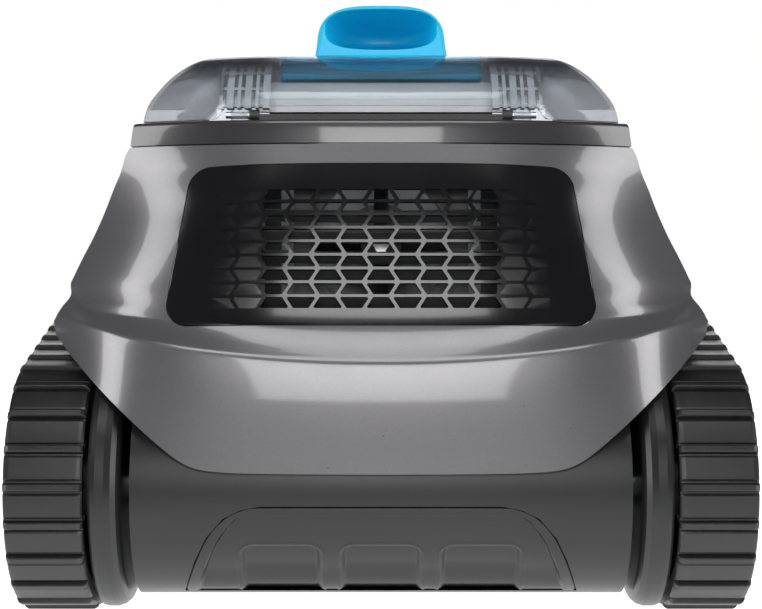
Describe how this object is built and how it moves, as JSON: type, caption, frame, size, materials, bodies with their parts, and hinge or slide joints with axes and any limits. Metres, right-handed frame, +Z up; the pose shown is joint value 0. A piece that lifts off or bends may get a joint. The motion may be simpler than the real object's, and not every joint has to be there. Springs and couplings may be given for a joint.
{
  "type": "pool cleaner",
  "caption": "Tracked robotic pool cleaner: dark shell, rear honeycomb outlet grille, clear hinged lid over a filter canister, blue carrying handle, rubber tracks and a geared front brush.",
  "frame": {"origin": "on the ground, under the middle of the machine", "axes": "+X to the right seen from behind, +Y the direction of travel (brush end), +Z up; the outlet grille faces -Y"},
  "size_m": [0.42, 0.4422, 0.368],
  "materials": {
    "shell_grey": "metallic dark grey moulded plastic, gloss",
    "hull_black": "black moulded plastic, satin",
    "gloss_black": "black moulded plastic, high gloss",
    "lid_clear": "clear polycarbonate with a smoke tint",
    "handle_blue": "bright blue moulded plastic, gloss",
    "light_grey": "light grey moulded plastic, gloss",
    "dark_plastic": "dark grey moulded plastic, satin",
    "track_rubber": "moulded rubber",
    "seal_rubber": "soft black seal rubber",
    "brush_pvc": "soft blue brush blades",
    "steel": "stainless steel, brushed",
    "mesh_nylon": "fine woven nylon filter mesh",
    "gear_white": "acetal, natural white",
    "board_green": "circuit board",
    "battery_wrap": "shrink-wrapped battery pack",
    "float_foam": "closed-cell foam"
  },
  "bodies": {
    "root": {"hull_tub": "hull_black", "rear_hull_panel": "hull_black", "front_bumper": "hull_black", "bottom_plate": "dark_plastic", "inlet_throat": "dark_plastic", "upper_shell": "shell_grey", "lid_collar": "shell_grey", "collar_seal": "seal_rubber", "hinge_bridge": "dark_plastic", "hinge_pins": "steel", "grille_panel": "gloss_black", "grille_screws": "steel", "outlet_louvres": "dark_plastic", "outlet_duct": "light_grey", "pump_motor": "steel", "canister_frame": "dark_plastic", "canister_mesh": "mesh_nylon", "canister_cover": "light_grey", "canister_floor": "dark_plastic", "drive_housing": "dark_plastic", "drive_housing_cover": "dark_plastic", "drive_seal": "seal_rubber", "battery_pack": "battery_wrap", "control_board": "board_green", "drive_motors": "steel", "charging_port": "gloss_black", "charging_cap": "handle_blue", "float_block": "float_foam", "axle_pins": "steel", "left_track": "track_rubber", "right_track": "track_rubber", "left_track_frame": "dark_plastic", "right_track_frame": "dark_plastic", "left_track_cover": "dark_plastic", "right_track_cover": "dark_plastic", "cover_screws": "steel", "base_screws": "steel", "wheel_clips": "steel", "brush_bushes": "gear_white"},
    "left_rear": {"left_rear_wheel": "dark_plastic", "left_rear_flange": "hull_black"},
    "right_rear": {"right_rear_wheel": "dark_plastic", "right_rear_flange": "hull_black"},
    "left_front": {"left_front_wheel": "dark_plastic", "left_front_gear": "gear_white"},
    "right_front": {"right_front_wheel": "dark_plastic"},
    "left_roller": {"left_guide_roller": "dark_plastic"},
    "right_roller": {"right_guide_roller": "dark_plastic"},
    "brush": {"brush_core": "dark_plastic", "brush_blades": "brush_pvc", "brush_pinion": "gear_white"},
    "lid": {"lid_shell": "lid_clear", "lid_window": "lid_clear", "lid_hinge_arms": "lid_clear", "handle_base": "handle_blue", "handle": "handle_blue"},
    "rotor": {"impeller": "dark_plastic", "impeller_nut": "steel"},
    "flap": {"inlet_flap": "dark_plastic"}
  },
  "joints": [
    {"name": "left_front_spin", "type": "hinge", "parent": "root", "child": "left_front", "pos_m": [0, 0.1133, 0.108], "axis": [1, 0, 0], "continuous": true},
    {"name": "right_front_spin", "type": "hinge", "parent": "root", "child": "right_front", "pos_m": [0, 0.1133, 0.108], "axis": [1, 0, 0], "continuous": true},
    {"name": "left_rear_spin", "type": "hinge", "parent": "root", "child": "left_rear", "pos_m": [0, -0.1467, 0.0746], "axis": [1, 0, 0], "continuous": true},
    {"name": "right_rear_spin", "type": "hinge", "parent": "root", "child": "right_rear", "pos_m": [0, -0.1467, 0.0746], "axis": [1, 0, 0], "continuous": true},
    {"name": "left_roller_spin", "type": "hinge", "parent": "root", "child": "left_roller", "pos_m": [0, -0.0247, 0.0225], "axis": [1, 0, 0], "continuous": true},
    {"name": "right_roller_spin", "type": "hinge", "parent": "root", "child": "right_roller", "pos_m": [0, -0.0247, 0.0225], "axis": [1, 0, 0], "continuous": true},
    {"name": "brush_spin", "type": "hinge", "parent": "root", "child": "brush", "pos_m": [0, 0.1753, 0.04276], "axis": [1, 0, 0], "continuous": true},
    {"name": "impeller_spin", "type": "hinge", "parent": "root", "child": "rotor", "pos_m": [0, -0.1478, 0.216], "axis": [0, 1, 0], "continuous": true},
    {"name": "lid_hinge", "type": "hinge", "parent": "root", "child": "lid", "pos_m": [0, -0.1508, 0.2925], "axis": [1, 0, 0], "range_deg": [0, 80]},
    {"name": "flap_hinge", "type": "hinge", "parent": "root", "child": "flap", "pos_m": [0, -0.0108, 0.1396], "axis": [-1, 0, 0], "range_deg": [0, 60]}
  ],
  "couplings": [
    {"joint": "left_rear_spin", "follows": "left_front_spin", "ratio": 1.4834},
    {"joint": "right_rear_spin", "follows": "right_front_spin", "ratio": 1.4834},
    {"joint": "left_roller_spin", "follows": "left_front_spin", "ratio": 7.3214},
    {"joint": "right_roller_spin", "follows": "right_front_spin", "ratio": 7.3214},
    {"joint": "brush_spin", "follows": "left_front_spin", "ratio": -3}
  ]
}
